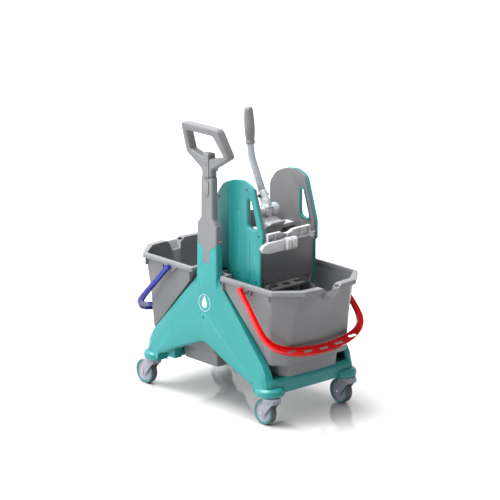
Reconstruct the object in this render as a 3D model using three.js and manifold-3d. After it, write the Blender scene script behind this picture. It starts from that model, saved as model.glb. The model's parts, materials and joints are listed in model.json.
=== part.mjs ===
// Double-bucket mopping trolley with a lever press wringer.
// Millimetres, +Z up, origin on the floor under the middle of the trolley.
// +X points to the red-handled bucket, which carries the wringer; the push handle stands on the -Y side.

import * as THREE from 'three';
import { mergeVertices } from 'three/addons/utils/BufferGeometryUtils.js';
import Module from 'manifold-3d';

const wasm = await Module();
wasm.setup();

// ---------------------------------------------------------------- driving dimensions
const GAP = 0.35;                 // clearance between separate pieces

// chassis
const FRAME_END_X = 288;          // outer face of the end beams
const BEAM_BOTTOM_Z = 99.5;
const BEAM_TOP_Z = 148;
const BEAM_INNER_X = 212;         // inner edge of the shelf the bucket stands on
const FRAME_FRONT_Y = 179;        // face of the column
const FRAME_BACK_Y = 156;         // inner edge of the side frame
const FRAME_LEAN = 0.034;         // outward lean of the side panel, per mm below LEAN_TOP_Z
const LEAN_TOP_Z = 439;
const LEG_TOP_Z = 444;
const FRAME_WALL = 5;
const COLUMN_HALF = 46;
const SOCKET_TOP_Z = 523;
const END_PROFILE = [[288, 99.5], [288, 130], [283.5, 144.5], [281, 148]];   // outer face of the end beams, bottom to top
const POD_X = 264;                // corner bumper over each castor
const POD_Y = 153;
const POD_R = 47;

// castors
const CASTOR_X = 283;
const CASTOR_Y = 161;
const TRAIL = 30;
const WHEEL_R = 40;
const WHEEL_W = 24;

// buckets
const RIM_Z = 439;
const RIM_SKIRT = 15;
const BUCKET_INNER_X = 27;
const BUCKET_WALL = 3.5;
const NOTCH_X = 64;               // the rim steps in here to clear the column
const NOTCH_Y = 150;
const BAIL_X = 170;
const BAIL_Z = 420;
const BAIL_REST_DEG = 47;         // how far below level the carrying handle hangs

// push handle
const HANDLE_SEAM_Z = 742;
const GRIP_BEND_Z = 812;
const GRIP_LEAN = 0.2;

// wringer
const PANEL_Y = 118;              // outer face of each side panel
const PANEL_T = 7;
const LINER_T = 5;
const COLLAR_DEPTH = 15;          // length of the sleeve around each hand hole
const WRINGER_FRONT_X = 182;
const WRINGER_HEAD_X = 191;
const WRINGER_BACK_X = -22;
const WRINGER_STEP_Z = 531;
const WRINGER_FOOT_Z = 385;
const HUB_X = 87;
const HUB_Z = 625;
const PRESS_X = 50;
const PRESS_Z = 545;

// ---------------------------------------------------------------- materials
const material = (color, roughness, metalness = 0) =>
  new THREE.MeshStandardMaterial({ color, roughness, metalness });

const TEAL = material(0x3cb8b0, 0.42);
const COLUMN_GREY = material(0xa6a7a9, 0.5);
const BUCKET_GREY = material(0x97999c, 0.5);
const PLATE_GREY = material(0x4c4d4f, 0.5);
const LINER_GREY = material(0x7d7e80, 0.5);
const FORK_GREY = material(0xb9becd, 0.45);
const TYRE_GREY = material(0x64676a, 0.75);
const RED = material(0xe82121, 0.4);
const BLUE = material(0x2d41a0, 0.4);
const ALUMINIUM = material(0xc3c8ce, 0.3, 0.9);
const CAST_ALUMINIUM = material(0xb4bac2, 0.38, 0.8);
const STEEL = material(0xd0d2d4, 0.3, 1.0);
const DARK_STEEL = material(0x3a3b3d, 0.4, 0.8);
const WHITE = material(0xe9eaeb, 0.45);
const GRIP_GREY = material(0x8b8d90, 0.6);

// ---------------------------------------------------------------- solid helpers
function solid(geometry) {
  const bare = geometry.clone();
  bare.deleteAttribute('normal');
  bare.deleteAttribute('uv');
  const merged = mergeVertices(bare, 1e-4);
  return new wasm.Manifold(new wasm.Mesh({
    numProp: 3,
    vertProperties: new Float32Array(merged.attributes.position.array),
    triVerts: new Uint32Array(merged.index.array),
  }));
}

function shell(body) {
  const mesh = body.getMesh();
  const geometry = new THREE.BufferGeometry();
  geometry.setAttribute('position', new THREE.BufferAttribute(new Float32Array(mesh.vertProperties), 3));
  geometry.setIndex(new THREE.BufferAttribute(new Uint32Array(mesh.triVerts), 1));
  return geometry;
}

const join = (...bodies) => bodies.reduce((total, body) => total.add(body));
const cut = (body, ...tools) => tools.reduce((total, tool) => total.subtract(tool), body);

function moved(geometry, matrix) {
  return geometry.applyMatrix4(matrix);
}

// corner points [u, v, radius] become a polygon with round corners
function rounded(corners, steps = 5) {
  const out = [];
  const n = corners.length;
  corners.forEach(([u, v, r = 0], i) => {
    if (!r) {
      out.push([u, v]);
      return;
    }
    const a = corners[(i + n - 1) % n];
    const b = corners[(i + 1) % n];
    const here = new THREE.Vector2(u, v);
    const toA = new THREE.Vector2(a[0] - u, a[1] - v);
    const toB = new THREE.Vector2(b[0] - u, b[1] - v);
    const lengths = [toA.length(), toB.length()];
    toA.normalize();
    toB.normalize();
    const half = Math.acos(THREE.MathUtils.clamp(toA.dot(toB), -1, 1)) / 2;
    const reach = Math.min(r / Math.tan(half), lengths[0] * 0.49, lengths[1] * 0.49);
    const p = here.clone().addScaledVector(toA, reach);
    const q = here.clone().addScaledVector(toB, reach);
    for (let k = 0; k <= steps; k++) {
      const t = k / steps;
      const bend = (1 - t) * (1 - t);
      const mix = 2 * t * (1 - t);
      out.push([
        bend * p.x + mix * u + t * t * q.x,
        bend * p.y + mix * v + t * t * q.y,
      ]);
    }
  });
  return out;
}

const circle = (u, v, r, n = 20) => Array.from({ length: n }, (_, i) => {
  const t = i / n * Math.PI * 2;
  return [u + r * Math.cos(t), v + r * Math.sin(t)];
});

function slab(outline, holes, depth) {
  const shape = new THREE.Shape(outline.map(([u, v]) => new THREE.Vector2(u, v)));
  holes.forEach(hole => shape.holes.push(new THREE.Path(hole.map(([u, v]) => new THREE.Vector2(u, v)))));
  return new THREE.ExtrudeGeometry(shape, { depth, bevelEnabled: false });
}

const AXIS_X = new THREE.Vector3(1, 0, 0);
const AXIS_Y = new THREE.Vector3(0, 1, 0);
const AXIS_Z = new THREE.Vector3(0, 0, 1);

// plates: the outline lies in XZ, YZ or XY and fills the span low..high of the third axis
function plateY(outline, low, high, holes = []) {
  const geometry = slab(outline, holes, high - low);
  const turn = new THREE.Matrix4().makeBasis(AXIS_X, AXIS_Z, AXIS_Y.clone().negate());
  return solid(moved(geometry, turn).translate(0, high, 0));
}

function plateX(outline, low, high, holes = []) {
  const geometry = slab(outline, holes, high - low);
  const turn = new THREE.Matrix4().makeBasis(AXIS_Y, AXIS_Z, AXIS_X);
  return solid(moved(geometry, turn).translate(low, 0, 0));
}

function plateZ(outline, low, high, holes = []) {
  return solid(slab(outline, holes, high - low).translate(0, 0, low));
}

function box(x0, x1, y0, y1, z0, z1) {
  const geometry = new THREE.BoxGeometry(x1 - x0, y1 - y0, z1 - z0);
  return solid(geometry.translate((x0 + x1) / 2, (y0 + y1) / 2, (z0 + z1) / 2));
}

// profile [radius, height] turned about Z
function turned(profile, segments = 24) {
  const points = profile.map(([r, z]) => new THREE.Vector2(r, z));
  return new THREE.LatheGeometry(points, segments).rotateX(Math.PI / 2);
}

const aboutY = (profile, segments) => turned(profile, segments).rotateX(Math.PI / 2);

function rod(radius, from, to, segments = 16) {
  const a = new THREE.Vector3(...from);
  const b = new THREE.Vector3(...to);
  const along = b.clone().sub(a);
  const geometry = new THREE.CylinderGeometry(radius, radius, along.length(), segments);
  geometry.applyQuaternion(new THREE.Quaternion().setFromUnitVectors(AXIS_Y, along.clone().normalize()));
  const middle = a.add(b).multiplyScalar(0.5);
  return solid(geometry.translate(middle.x, middle.y, middle.z));
}

// closed skin over a stack of rings with equal point counts
function loft(rings, flat = [0, 1]) {
  const n = rings[0].length;
  const index = [];
  for (let r = 0; r + 1 < rings.length; r++) {
    for (let i = 0; i < n; i++) {
      const a = r * n + i;
      const b = r * n + (i + 1) % n;
      index.push(a, b, b + n, a, b + n, a + n);
    }
  }
  const cap = (ring, offset, flip) => {
    // a hair of unevenness keeps points that lie on one straight edge
    const nudge = k => 1e-5 * Math.sin(k * 12.9898 + 1);
    const contour = ring.map((p, k) => new THREE.Vector2(p[flat[0]] + nudge(k), p[flat[1]] + nudge(k + 0.5)));
    const faces = THREE.ShapeUtils.triangulateShape(contour, []);
    const area = ([a, b, c]) => {
      const ab = contour[b].clone().sub(contour[a]);
      return ab.cross(contour[c].clone().sub(contour[a]));
    };
    const total = faces.reduce((sum, face) => sum + area(face), 0);
    const keep = (total > 0 === THREE.ShapeUtils.area(contour) > 0) !== flip;
    faces.forEach(([a, b, c]) => {
      index.push(...(keep ? [a, b, c] : [a, c, b]).map(k => k + offset));
    });
  };
  cap(rings[0], 0, true);
  cap(rings[rings.length - 1], (rings.length - 1) * n, false);
  const flatList = new Float32Array(rings.flat(2));
  const signed = (list) => {
    let total = 0;
    for (let i = 0; i < list.length; i += 3) {
      const [a, b, c] = [0, 1, 2].map(k => new THREE.Vector3().fromArray(flatList, list[i + k] * 3));
      total += a.dot(b.cross(c));
    }
    return total;
  };
  const order = signed(index) > 0 ? index : index.slice().reverse();
  const geometry = new THREE.BufferGeometry();
  geometry.setAttribute('position', new THREE.BufferAttribute(flatList, 3));
  geometry.setIndex(order);
  return solid(geometry);
}

// polygon points pushed inward, by a width of their own
function inset(outline, widthAt) {
  const turnSign = Math.sign(THREE.ShapeUtils.area(outline.map(([u, v]) => new THREE.Vector2(u, v))));
  const n = outline.length;
  return outline.map(([u, v], i) => {
    const [au, av] = outline[(i + n - 1) % n];
    const [bu, bv] = outline[(i + 1) % n];
    const d1 = new THREE.Vector2(u - au, v - av).normalize();
    const d2 = new THREE.Vector2(bu - u, bv - v).normalize();
    const n1 = new THREE.Vector2(-d1.y, d1.x);
    const normal = n1.clone().add(new THREE.Vector2(-d2.y, d2.x)).normalize().multiplyScalar(turnSign);
    const spread = Math.max(0.35, Math.abs(normal.dot(n1)));
    const width = widthAt(u, v) / spread;
    return [u + normal.x * width, v + normal.y * width];
  });
}

const mirroredY = body => body.mirror([0, 1, 0]);
const mirroredX = body => body.mirror([1, 0, 0]);

// ---------------------------------------------------------------- scene helpers
const trolley = new THREE.Group();

function add(name, body, look, place = {}) {
  const geometry = body.isBufferGeometry ? body : shell(body);
  const mesh = new THREE.Mesh(geometry, look);
  mesh.name = name;
  if (place.position) mesh.position.set(...place.position);
  if (place.rotation) mesh.rotation.set(...place.rotation);
  (place.parent || trolley).add(mesh);
  return mesh;
}

// ---------------------------------------------------------------- side frames
const frontY = z => -FRAME_FRONT_Y - FRAME_LEAN * Math.max(0, LEAN_TOP_Z - z);
const ARCH_SHIFT = -8;

// right half of the outline, from the foot up to the socket
const legCorners = [
  [FRAME_END_X, BEAM_BOTTOM_Z, 0],
  [FRAME_END_X, 130, 0],
  [283, 146, 0],
  [274, 170, 0],
  [256, 195, 0],
  [94, 369, 60],
  [50, 414, 60],
  [COLUMN_HALF + 1, LEG_TOP_Z, 0],
];

const leftLeg = legCorners.slice().reverse().map(([x, z, r]) => [-x, z, r]);

const archCorners = [
  [-222, BEAM_BOTTOM_Z, 0],
  [-222, 120, 8],
  [-122 + ARCH_SHIFT, 163, 60],
  [ARCH_SHIFT, 214, 55],
  [112 + ARCH_SHIFT, 163, 60],
  [222, 120, 8],
  [222, BEAM_BOTTOM_Z, 0],
];

const legOutline = rounded([...archCorners, ...legCorners, ...leftLeg], 2);

const ramp = (z, z0, z1) => THREE.MathUtils.clamp((z - z0) / (z1 - z0), 0, 1);
const isOuter = (x, z) => z > 205 + 0.01 || Math.abs(x) > 235;

function facetWidth(x, z) {
  if (!isOuter(x, z) || Math.abs(x) < 30) return 4;
  const upper = 3 + 34 * ramp(z, 425, 372);
  const lower = 20 + 17 * ramp(z, 150, 200);
  return Math.min(upper, lower);
}

function sideLegs() {
  const place = (ring, y) => ring.map(([x, z]) => [x, y(z), z]);
  const edge = (x, z) => (isOuter(x, z) && z < 190 ? 6 * ramp(z, 190, 150) : 0);
  const rings = [
    place(inset(legOutline, facetWidth), z => frontY(z)),
    place(inset(legOutline, edge), z => frontY(z) + 8),
    place(legOutline, z => frontY(z) + 20),
    place(legOutline, () => -FRAME_BACK_Y),
  ];
  return loft(rings, [0, 2]);
}

function legCavity() {
  const inner = inset(legOutline, () => FRAME_WALL + 1.5);
  const narrow = inset(legOutline, (x, z) => (isOuter(x, z) ? Math.max(facetWidth(x, z), 10) : 9));
  const place = (ring, y) => ring.map(([x, z]) => [x, y(z), z]);
  return loft([
    place(narrow, z => frontY(z) + FRAME_WALL),
    place(inner, z => frontY(z) + FRAME_WALL + 6),
    place(inner, () => -FRAME_BACK_Y + 10),
  ], [0, 2]);
}

function raisedTriangle() {
  const corners = [
    [-228, 138, 0],
    [-222, 128, 0],
    [-122 + ARCH_SHIFT, 170, 60],
    [ARCH_SHIFT, 221, 55],
    [112 + ARCH_SHIFT, 170, 60],
    [222, 128, 0],
    [228, 138, 0],
    [-4 + ARCH_SHIFT / 2, 308, 14],
  ];
  const outline = rounded(corners, 3);
  const place = (ring, y) => ring.map(([x, z]) => [x, y(z), z]);
  return loft([
    place(inset(outline, () => 2), z => frontY(z) - 2),
    place(outline, z => frontY(z)),
    place(outline, z => frontY(z) + 3),
  ], [0, 2]);
}

function pod(x) {
  const disc = solid(turned([
    [0, 96], [POD_R - 3, 96], [POD_R, 99], [POD_R, 106], [POD_R - 1.2, 107.5],
    [POD_R, 109], [POD_R - 1.5, 115], [POD_R - 9, 121], [0, 121],
  ], 26).translate(x, -POD_Y, 0));
  // the bumper only wraps the outer corner
  const side = Math.sign(x);
  const keep = plateZ([
    [side * 222, -240],
    [side * 340, -240],
    [side * 340, -112],
    [side * 300, -112],
    [side * 262, -128],
    [side * 222, -150],
  ], 90, 130);
  return disc.intersect(keep);
}

// the whole column, socket and handle in one, split along the V-shaped joint below
function wholeColumn() {
  const outline = [
    [-COLUMN_HALF - 1, LEG_TOP_Z - 12],
    [COLUMN_HALF + 1, LEG_TOP_Z - 12],
    [COLUMN_HALF - 1, 590],
    [27.5, 613],
    [26, HANDLE_SEAM_Z - GAP],
    [-26, HANDLE_SEAM_Z - GAP],
    [-27.5, 613],
    [-COLUMN_HALF + 1, 590],
  ];
  const place = (ring, y) => ring.map(([x, z]) => [x, y, z]);
  return loft([
    place(inset(outline, () => 3), -FRAME_FRONT_Y),
    place(outline, -FRAME_FRONT_Y + 4),
    place(outline, -FRAME_BACK_Y),
  ], [0, 2]);
}

function jointBelow(gap) {
  return plateY([
    [-70, 430],
    [70, 430],
    [70, 536 + gap],
    [COLUMN_HALF, 533 + gap],
    [12 - gap, 505 + gap],
    [12 - gap, 466 + gap],
    [-16 + gap, 470 + gap],
    [-16 + gap, 508 + gap],
    [-COLUMN_HALF, 533 + gap],
    [-70, 536 + gap],
  ], -230, -100);
}

function socketColumn() {
  return wholeColumn().intersect(jointBelow(0));
}

function sideFrame() {
  const body = cut(join(sideLegs(), raisedTriangle()), legCavity());
  const column = cut(socketColumn(), box(-36, 36, -172, -150, 435, 455));
  const rails = [-1, 1].map(side => {
    const x = [95 * side, 176 * side].sort((a, b) => a - b);
    return join(
      box(x[0], x[1], -166, -126, 182, 190.6),
      plateX([[-185, 174], [-166, 174], [-130, 184], [-185, 184]], x[0] + 10, x[0] + 14),
      plateX([[-185, 174], [-166, 174], [-130, 184], [-185, 184]], x[1] - 14, x[1] - 10),
    );
  });
  const posts = [-1, 1].map(side => {
    const x = [232 * side, FRAME_END_X * side].sort((a, b) => a - b);
    return cut(
      join(
        plateY([[side * 232, BEAM_TOP_Z], [side * 232, BEAM_BOTTOM_Z], ...END_PROFILE.map(([u, v]) => [side * u, v])], -172, -113),
        plateZ([[side * 222, -186], [side * 286, -186], [side * 286, -118], [side * 262, -118]], 96, 106),
      ),
      box(x[0] + 5, x[1] - 5, -160, -110, 108, BEAM_TOP_Z - 6),
    );
  });
  // boxed bracket beside each foot, just inside the panel
  const brackets = [-1, 1].map(side => {
    const x = [178 * side, 236 * side].sort((a, b) => a - b);
    return cut(
      box(x[0], x[1], -158, -130, 110, 147),
      box(x[0] + (side < 0 ? 10 : 4), x[1] - (side < 0 ? 4 : 10), -155, -133, 100, 143),
    );
  });
  const ribs = [-105, 105].map(x => plateX([
    [-183, 230], [-158, 230], [-158, 335], [-172, 335],
  ], x - 1.5, x + 1.5));
  const openings = [-1, 1].map(side => {
    const x = [214 * side, 231.5 * side].sort((a, b) => a - b);
    return box(x[0], x[1], -186.5, -150, 90, 128);
  });
  const whole = join(body, column, ...rails, ...brackets, ...posts, ...ribs, pod(POD_X), pod(-POD_X));
  const screwHole = rod(3.6, [-8, -200, 290], [-8, -176, 290], 14);
  return cut(whole, ...openings, screwHole);
}

const nearFrame = sideFrame();
add('side_frame_near', nearFrame, TEAL);
add('side_frame_far', mirroredY(nearFrame), TEAL);

// ---------------------------------------------------------------- end beams
function endBeam() {
  const half = 113 - GAP;
  const tray = plateY([[BEAM_INNER_X, BEAM_TOP_Z], [BEAM_INNER_X, BEAM_BOTTOM_Z], ...END_PROFILE], -half, half);
  const pocket = plateY([
    [BEAM_INNER_X + 5, BEAM_TOP_Z - 5], [BEAM_INNER_X + 5, BEAM_BOTTOM_Z - 1],
    [FRAME_END_X - 5, BEAM_BOTTOM_Z - 1], [FRAME_END_X - 5, 129], [278, BEAM_TOP_Z - 5],
  ], -half + 5, half - 5);
  const rib = box(BEAM_INNER_X + 4, 280, -2, 2, BEAM_BOTTOM_Z + 6, BEAM_TOP_Z - 4);
  const ends = [-1, 1].map(side => {
    const y = [side * half, side * (half - 5)].sort((a, b) => a - b);
    return plateY([[BEAM_INNER_X, 97], [FRAME_END_X - 4, 97], [FRAME_END_X - 4, 104], [BEAM_INNER_X, 104]], y[0], y[1]);
  });
  return join(cut(tray, pocket), rib, ...ends);
}

const redBeam = endBeam();
add('end_beam_red', redBeam, TEAL);
add('end_beam_blue', mirroredX(redBeam), TEAL);

// ---------------------------------------------------------------- push handle
function columnBody() {
  const outline = [
    [-39, 545], [39, 545], [38, 588], [21.5, 611], [20, 733], [-20, 733], [-21.5, 611], [-38, 588],
  ];
  const hollow = plateY(outline, -FRAME_FRONT_Y + 5, -FRAME_BACK_Y + 5);
  const nub = box(COLUMN_HALF - 2, COLUMN_HALF + 5, -168, -158, 538, 544);
  return join(cut(wholeColumn(), jointBelow(GAP), hollow), nub);
}
add('push_handle_column', columnBody(), COLUMN_GREY);

// the loop leans towards the user above its lower corners
function leaned(body) {
  const above = box(-200, 200, -400, 0, GRIP_BEND_Z, 1000);
  const top = body.intersect(above).warp((v) => {
    v[1] -= GRIP_LEAN * Math.max(0, v[2] - GRIP_BEND_Z);
  });
  return join(cut(body, above), top);
}

function gripBody() {
  const y0 = -FRAME_FRONT_Y;
  const outer = rounded([
    [-22, HANDLE_SEAM_Z],
    [22, HANDLE_SEAM_Z],
    [22, 768, 14],
    [104, 817, 16],
    [68, 906, 16],
    [-102, 906, 16],
    [-96, 808, 14],
    [-22, 764, 20],
  ], 3);
  const hole = rounded([
    [-80, 880, 8],
    [42, 881, 8],
    [81, 818, 8],
    [14, 802, 6],
    [-16, 802, 6],
    [-75, 820, 8],
  ], 3);
  const place = (ring, y) => ring.map(([x, z]) => [x, y, z]);
  const depth = 32;
  const body = loft([
    place(inset(outer, () => 5), y0),
    place(inset(outer, () => 1.4), y0 + 2),
    place(outer, y0 + 6),
    place(outer, y0 + depth - 6),
    place(inset(outer, () => 1.4), y0 + depth - 2),
    place(inset(outer, () => 5), y0 + depth),
  ], [0, 2]);
  const window = loft([
    place(inset(hole, () => -4), y0 - 1),
    place(hole, y0 + 4),
    place(hole, y0 + depth - 4),
    place(inset(hole, () => -4), y0 + depth + 1),
  ], [0, 2]);
  const neckRear = box(-60, 60, y0 + 23, y0 + depth + 4, HANDLE_SEAM_Z - 5, 762);
  const spine = plateX([
    [y0 - 2.6, HANDLE_SEAM_Z], [y0 + 3, HANDLE_SEAM_Z], [y0 + 3, 780], [y0 - 2.6, 780],
  ], -12, 12);
  const pocket = box(-12.4, 12.4, y0 - 4, y0 + 27.4, 780, 812);
  return leaned(cut(join(body, spine), window, neckRear, pocket));
}
add('push_handle_grip', gripBody(), COLUMN_GREY);

// push button at the top of the spine
function buttonBody() {
  const y0 = -FRAME_FRONT_Y;
  const side = rounded([
    [y0 - 2.6, 780.4], [y0 + 27, 780.4], [y0 + 27, 818, 7], [y0 - 2.6, 821, 7],
  ], 3);
  return plateX(side, -12, 12);
}
add('push_handle_button', buttonBody(), COLUMN_GREY);

const latchOutline = rounded([[-12, HANDLE_SEAM_Z - 60, 11], [11, HANDLE_SEAM_Z - 60, 11], [11, HANDLE_SEAM_Z - 12], [-12, HANDLE_SEAM_Z - 12]], 4);
add('handle_latch', plateY(latchOutline, -FRAME_FRONT_Y - 2.4, -FRAME_FRONT_Y - GAP), COLUMN_GREY);

function socketCap() {
  const plug = wholeColumn().intersect(plateY([[-70, 440], [70, 440], [70, 541], [-70, 541]], -230, -100));
  return mirroredY(cut(plug, jointBelow(GAP)));
}
add('far_socket_cap', socketCap(), COLUMN_GREY);

// ---------------------------------------------------------------- castors
const stemShape = turned([[0, 93.8], [20, 93.8], [20, 95.6], [0, 95.6]], 16);

function forkBody() {
  const crown = solid(turned([[0, 80], [24, 80], [26, 84], [26, 92], [24.8, 93.4], [0, 93.4]], 22));
  const cheekOutline = rounded([
    [-24, 87],
    [-27, 70],
    [-41, 46],
    [-38, 31, 8],
    [-20, 30, 8],
    [18, 77],
    [22, 79],
    [22, 87],
  ], 2);
  const cheeks = [-1, 1].map(side => {
    const y = [side * 14.2, side * 18].sort((a, b) => a - b);
    return plateY(cheekOutline, y[0], y[1]);
  });
  const web = box(10, 22, -17, 17, 74, 87);
  const room = box(-40, 15, -13.8, 13.8, 60, 79);
  return cut(join(crown, ...cheeks, web), room, rod(5, [-TRAIL, -30, WHEEL_R], [-TRAIL, 30, WHEEL_R], 12));
}

const forkShape = shell(forkBody());
const axleShape = shell(join(
  rod(4.6, [0, -19.5, 0], [0, 19.5, 0], 12),
  rod(5.6, [0, -20.6, 0], [0, -18.4, 0], 12),
  rod(5.6, [0, 18.4, 0], [0, 20.6, 0], 12),
));
const half = WHEEL_W / 2;
const coreShape = aboutY([
  [5.2, -12.6], [9, -12.6], [11, -10], [28, -10], [36.6, -11],
  [36.6, 11], [28, 10], [11, 10], [9, 12.6], [5.2, 12.6], [5.2, -12.6],
], 20);
const tyreShape = aboutY([
  [37, -11.4], [38.6, -half], [WHEEL_R, -half + 4], [WHEEL_R, half - 4], [38.6, half], [37, 11.4], [37, -11.4],
], 24);

const corners = [
  ['blue_near', -1, -1],
  ['blue_far', -1, 1],
  ['red_near', 1, -1],
  ['red_far', 1, 1],
];

for (const [label, sx, sy] of corners) {
  const castor = new THREE.Group();
  castor.position.set(sx * CASTOR_X, sy * CASTOR_Y, 0);
  trolley.add(castor);
  const wheelPlace = { position: [-TRAIL, 0, WHEEL_R], parent: castor };
  add(`castor_stem_${label}`, stemShape, STEEL, { parent: castor });
  add(`castor_fork_${label}`, forkShape, FORK_GREY, { parent: castor });
  add(`castor_axle_${label}`, axleShape, STEEL, wheelPlace);
  add(`wheel_core_${label}`, coreShape, FORK_GREY, wheelPlace);
  add(`wheel_tyre_${label}`, tyreShape, TYRE_GREY, wheelPlace);
}

// ---------------------------------------------------------------- buckets
// one plan section: octagon with a slightly bowed outer end
function section(z, { inner, side, chamfer, end, endHalf, bow = 0, soft = 10 }) {
  const plan = [
    [inner, -side, soft],
    [chamfer, -side, soft],
    [end, -endHalf, soft],
    [end + bow, 0, bow ? 300 : 0],
    [end, endHalf, soft],
    [chamfer, side, soft],
    [inner, side, soft],
  ];
  return rounded(plan, 2).map(([x, y]) => [x, y, z]);
}

const shrink = (s, t) => ({
  ...s,
  inner: s.inner + t,
  side: s.side - t,
  chamfer: s.chamfer - t * 0.42,
  end: s.end - t,
  endHalf: s.endHalf - t * 0.42,
  soft: Math.max(3, (s.soft || 10) - t * 0.5),
});

const MAIN_TOP = { inner: BUCKET_INNER_X, side: 176, chamfer: 295, end: 352, endHalf: 105, bow: 9 };
const MAIN_KINK = { inner: BUCKET_INNER_X + 1.5, side: 167, chamfer: 282, end: 326, endHalf: 117, bow: 6 };
const MAIN_LOW = { inner: BUCKET_INNER_X + 4, side: 161, chamfer: 275, end: 314, endHalf: 124, bow: 4 };
const MAIN_FOOT = { ...shrink(MAIN_LOW, 6), bow: 4 };
const LOWER_TOP = { inner: BUCKET_INNER_X + 2.5, side: 122, chamfer: 272, end: 300, endHalf: 98, bow: 2 };
const LOWER_LOW = { inner: BUCKET_INNER_X + 3, side: 119, chamfer: 268, end: 296, endHalf: 96, bow: 2 };
const WELL_TOP = { inner: BUCKET_INNER_X + 3, side: 110, chamfer: 190, end: 205, endHalf: 94, bow: 2 };
const WELL_LOW = { inner: BUCKET_INNER_X + 4, side: 108.5, chamfer: 188, end: 203, endHalf: 92, bow: 2 };
const SHOULDER_Z = 197;
const LOWER_Z = 150;
const WELL_Z = 105;

function mainLoft(t, top, bottom) {
  const levels = [
    [bottom, MAIN_FOOT],
    [bottom + 7, MAIN_LOW],
    [318, MAIN_KINK],
    [424, MAIN_TOP],
  ].map(([z, s]) => section(z, t ? shrink(s, t) : s));
  const last = section(top, t ? shrink(MAIN_TOP, t) : MAIN_TOP);
  return loft([...levels, last]);
}

const rimOutline = (grow) => rounded([
  [BUCKET_INNER_X - 3 - grow, -NOTCH_Y - grow, 5],
  [NOTCH_X - grow, -NOTCH_Y - grow, 5],
  [NOTCH_X - grow, -184 - grow, 9],
  [301 + grow * 0.4, -184 - grow, 12],
  [372 + grow, -107 - grow * 0.4, 12],
  [384 + grow, 0, 300],
  [372 + grow, 107 + grow * 0.4, 12],
  [301 + grow * 0.4, 184 + grow, 12],
  [NOTCH_X - grow, 184 + grow, 9],
  [NOTCH_X - grow, NOTCH_Y + grow, 5],
  [BUCKET_INNER_X - 3 - grow, NOTCH_Y + grow, 5],
], 2);

const atZ = (ring, z) => ring.map(([x, y]) => [x, y, z]);

// prism that keeps the bucket clear of the side frames' legs
function legClearance(margin) {
  const outline = [
    [0, 60],
    [320, 60],
    [320, 168],
    [290 + margin, 182],
    [262 + margin, 205],
    [98 + margin, 380],
    [62 + margin, 423],
    [62 + margin, 430],
    [0, 430],
  ];
  return [-1, 1].map(side => {
    const y = [side * (FRAME_BACK_Y - 3 - margin * 0.9), side * 230].sort((a, b) => a - b);
    return plateY(outline, y[0], y[1]);
  });
}

// corner recess for the column
function columnClearance(t) {
  return [-1, 1].map(side => {
    const y = [side * (NOTCH_Y - 4 - t), side * 230].sort((a, b) => a - b);
    return box(0, 74 + t, y[0], y[1], 150, 450);
  });
}

function bucket() {
  const t = BUCKET_WALL;
  const outer = join(
    mainLoft(0, 437, SHOULDER_Z - 6),
    loft([section(LOWER_Z, LOWER_LOW), section(SHOULDER_Z, LOWER_TOP)]),
    loft([section(WELL_Z, shrink(WELL_LOW, 2.5)), section(WELL_Z + 12, WELL_LOW), section(LOWER_Z + 2, WELL_TOP)]),
  );
  const inner = join(
    mainLoft(t, 445, SHOULDER_Z - 2),
    loft([section(LOWER_Z + t, shrink(LOWER_LOW, t)), section(SHOULDER_Z, shrink(LOWER_TOP, t))]),
    loft([
      section(WELL_Z + t, shrink(WELL_LOW, t + 2.5)),
      section(WELL_Z + 12, shrink(WELL_LOW, t)),
      section(LOWER_Z + t + 1, shrink(WELL_TOP, t)),
    ]),
  );
  const walls = cut(outer, ...legClearance(0), ...columnClearance(0));
  const hollow = cut(inner, ...legClearance(t), ...columnClearance(t));

  // rolled rim with a skirt, notched beside the column
  const skirt = loft([
    atZ(rimOutline(0), RIM_Z - RIM_SKIRT),
    atZ(rimOutline(0), RIM_Z - 3),
    atZ(rimOutline(-1), RIM_Z - 1),
    atZ(rimOutline(-3), RIM_Z),
  ]);
  const pocket = loft([atZ(rimOutline(-3), RIM_Z - RIM_SKIRT - 1), atZ(rimOutline(-3), RIM_Z - 4)]);
  const brim = cut(skirt, cut(pocket, walls));

  // bosses that hold the carrying handle
  const bossOutline = [
    [BAIL_X - 12, BAIL_Z - 14],
    [BAIL_X + 11, BAIL_Z - 14],
    [BAIL_X + 30, RIM_Z - RIM_SKIRT + 1],
    [BAIL_X + 30, RIM_Z - 4],
    [BAIL_X - 32, RIM_Z - 4],
    [BAIL_X - 32, RIM_Z - RIM_SKIRT + 1],
  ];
  const bosses = [-1, 1].map(side => {
    const y = [side * 170, side * 184].sort((a, b) => a - b);
    return plateY(bossOutline, y[0], y[1]);
  });
  const pinHoles = [-1, 1].map(side => rod(5.6, [BAIL_X, side * 177, BAIL_Z], [BAIL_X, side * 190, BAIL_Z], 12));

  // stiffening tabs under the rim
  const tabs = [];
  for (const side of [-1, 1]) {
    for (const [x, low] of [[78, 393], [205, 404], [288, 402]]) {
      const outline = [[side * 165, low + 4], [side * 183.4, low], [side * 183.4, 428], [side * 165, 428]];
      tabs.push(plateX(outline, x - 1.5, x + 1.5));
    }
  }

  // pouring lip in the middle of the outer end
  const lipPlan = (x, w, z) => [[335, -w, z], [x, -w, z], [x, w, z], [335, w, z]];
  const lip = loft([lipPlan(362, 19, 396), lipPlan(368, 22, 400), lipPlan(382, 27, 425), lipPlan(383.5, 28, 429)]);
  const lipCut = loft([lipPlan(362, 17, 405), lipPlan(378.5, 23.5, 425), lipPlan(384, 25, 429)]);
  const pour = plateX([[-40, RIM_Z + 1], [-25, RIM_Z - 10.5], [25, RIM_Z - 10.5], [40, RIM_Z + 1]], 330, 400);

  const whole = join(walls, brim, ...bosses, ...tabs, lip);
  const body = cut(whole, hollow, cut(lipCut, box(300, 344, -60, 60, 380, 440)), pour, ...pinHoles);
  return body;
}

const bucketShape = shell(bucket());
const turnedRound = { rotation: [0, 0, Math.PI] };
add('bucket_red', bucketShape, BUCKET_GREY);
add('bucket_blue', bucketShape, BUCKET_GREY, turnedRound);

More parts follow.
